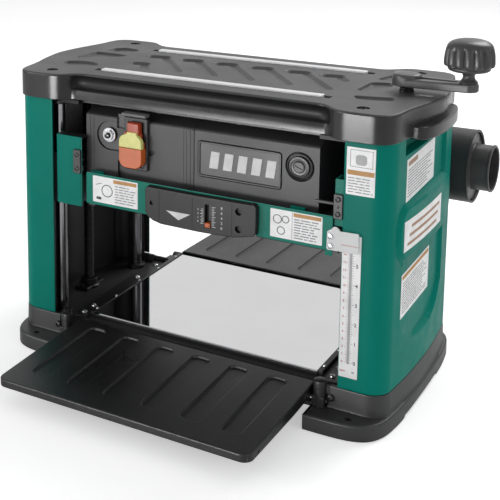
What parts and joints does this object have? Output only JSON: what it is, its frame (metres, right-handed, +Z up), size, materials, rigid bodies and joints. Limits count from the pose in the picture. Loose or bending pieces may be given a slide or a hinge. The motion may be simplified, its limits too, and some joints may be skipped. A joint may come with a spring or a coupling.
{
  "type": "thickness planer",
  "caption": "Portable thickness planer: cutter head sliding on corner posts between column covers, top crank, folding feed tables, front switch and side dust port.",
  "frame": {"origin": "middle of the base's underside, on the plane the machine stands on", "axes": "+X to the operator's right (crank side), +Y from the infeed side to the outfeed side, +Z up"},
  "size_m": [0.6583, 0.7207, 0.485],
  "materials": {
    "green_paint": "satin",
    "base": "textured",
    "polished_steel": "polished",
    "black_steel": "satin",
    "steel": "satin",
    "dark_plastic": "matte",
    "rail_metal": "satin",
    "chrome": "polished",
    "label_white": "satin",
    "black_plastic": "satin",
    "cast_metal": "cast",
    "clear_plastic": "clear",
    "motor_metal": "satin",
    "rubber": "matte",
    "orange_plastic": "satin",
    "yellow_plastic": "satin"
  },
  "bodies": {
    "frame": {"base": "base", "bed_plate": "polished_steel", "left_column_cover": "green_paint", "right_column_cover": "green_paint", "left_column_liner": "black_steel", "right_column_liner": "black_steel", "top_plate": "steel", "top_cover": "dark_plastic", "front_top_rail": "rail_metal", "rear_top_rail": "rail_metal", "guide_post_front_left": "chrome", "guide_post_front_right": "chrome", "guide_post_rear_left": "chrome", "guide_post_rear_right": "chrome", "height_scale": "label_white", "sync_chain": "steel", "infeed_hinge_bracket_left": "black_steel", "infeed_hinge_bracket_right": "black_steel", "outfeed_hinge_bracket_left": "black_steel", "outfeed_hinge_bracket_right": "black_steel", "infeed_hinge_rod": "steel", "outfeed_hinge_rod": "steel"},
    "crank": {"lead_screw_right": "steel", "sprocket_right": "steel", "crank_arm": "black_steel"},
    "left_screw": {"lead_screw_left": "black_steel", "sprocket_left": "steel"},
    "knob": {"crank_knob": "black_plastic"},
    "infeed_fold": {"infeed_table": "black_steel"},
    "outfeed_fold": {"outfeed_table": "black_steel"},
    "head": {"head_casting": "cast_metal", "head_cover_left": "dark_plastic", "head_cover_right": "dark_plastic", "brush_cap": "black_plastic", "breaker_nut": "chrome", "switch_bezel": "black_plastic", "front_guard": "green_paint", "head_bracket_left": "green_paint", "head_bracket_right": "green_paint", "bracket_clamp_left": "black_plastic", "bracket_clamp_right": "black_plastic", "gauge_panel": "black_plastic", "height_pointer": "clear_plastic", "motor": "motor_metal", "drive_belt": "rubber", "feed_gearbox": "motor_metal", "dust_hood": "dark_plastic"},
    "cutter": {"cutterhead": "steel", "knife_1": "polished_steel", "knife_2": "polished_steel", "cutterhead_pulley": "steel"},
    "motor_shaft": {"motor_pulley": "steel"},
    "roller_in": {"infeed_roller": "rubber"},
    "roller_out": {"outfeed_roller": "rubber"},
    "pawl_shaft": {"anti_kickback_pawls": "steel"},
    "breaker": {"breaker_button": "black_plastic"},
    "paddle": {"switch_paddle": "orange_plastic"},
    "key": {"switch_key": "yellow_plastic"},
    "gauge": {"gauge_pointer": "orange_plastic"},
    "adapter": {"dust_port_adapter": "black_plastic"}
  },
  "joints": [
    {"name": "crank_turn", "type": "hinge", "parent": "frame", "child": "crank", "pos_m": [0.245, 0, 0.4], "axis": [0, 0, 1], "range_deg": [-33840, 0]},
    {"name": "head_slide", "type": "slide", "parent": "frame", "child": "head", "axis": [0, 0, 1], "range_m": [-0.1493, 0]},
    {"name": "left_screw_turn", "type": "hinge", "parent": "frame", "child": "left_screw", "pos_m": [-0.245, 0, 0.2], "axis": [0, 0, 1], "range_deg": [-33840, 0]},
    {"name": "knob_spin", "type": "hinge", "parent": "crank", "child": "knob", "pos_m": [0.322, 0, 0.44], "axis": [0, 0, 1], "continuous": true},
    {"name": "infeed_fold", "type": "hinge", "parent": "frame", "child": "infeed_fold", "pos_m": [0, -0.138, 0.028], "axis": [-1, 0, 0], "range_deg": [0, 90]},
    {"name": "outfeed_fold", "type": "hinge", "parent": "frame", "child": "outfeed_fold", "pos_m": [0, 0.2005, 0.028], "axis": [1, 0, 0], "range_deg": [0, 90]},
    {"name": "cutterhead_spin", "type": "hinge", "parent": "head", "child": "cutter", "pos_m": [0, 0, 0.221], "axis": [1, 0, 0], "continuous": true},
    {"name": "motor_spin", "type": "hinge", "parent": "head", "child": "motor_shaft", "pos_m": [-0.2, 0.03, 0.308], "axis": [1, 0, 0], "continuous": true},
    {"name": "infeed_roller_spin", "type": "hinge", "parent": "head", "child": "roller_in", "pos_m": [0, -0.058, 0.2125], "axis": [1, 0, 0], "continuous": true},
    {"name": "outfeed_roller_spin", "type": "hinge", "parent": "head", "child": "roller_out", "pos_m": [0, 0.058, 0.2125], "axis": [1, 0, 0], "continuous": true},
    {"name": "pawls_swing", "type": "hinge", "parent": "head", "child": "pawl_shaft", "pos_m": [0, -0.098, 0.232], "axis": [1, 0, 0], "range_deg": [0, 30]},
    {"name": "breaker_press", "type": "slide", "parent": "head", "child": "breaker", "axis": [0, 1, 0], "range_m": [0, 0.003]},
    {"name": "paddle_swing", "type": "hinge", "parent": "head", "child": "paddle", "pos_m": [-0.088, -0.1315, 0.347], "axis": [-1, 0, 0], "range_deg": [0, 25]},
    {"name": "key_pull", "type": "slide", "parent": "paddle", "child": "key", "axis": [0, -1, 0], "range_m": [0, 0.025]},
    {"name": "gauge_slide", "type": "slide", "parent": "head", "child": "gauge", "axis": [0, 0, 1], "range_m": [0, 0.02]},
    {"name": "adapter_pull", "type": "slide", "parent": "head", "child": "adapter", "axis": [1, 0, 0], "range_m": [0, 0.05]}
  ],
  "couplings": [
    {"joint": "head_slide", "follows": "crank_turn", "m_per_rad": 0.00025266},
    {"joint": "left_screw_turn", "follows": "crank_turn", "ratio": 1},
    {"joint": "motor_spin", "follows": "cutterhead_spin", "ratio": 1.55},
    {"joint": "infeed_roller_spin", "follows": "cutterhead_spin", "ratio": -0.0076},
    {"joint": "outfeed_roller_spin", "follows": "cutterhead_spin", "ratio": -0.0076}
  ]
}
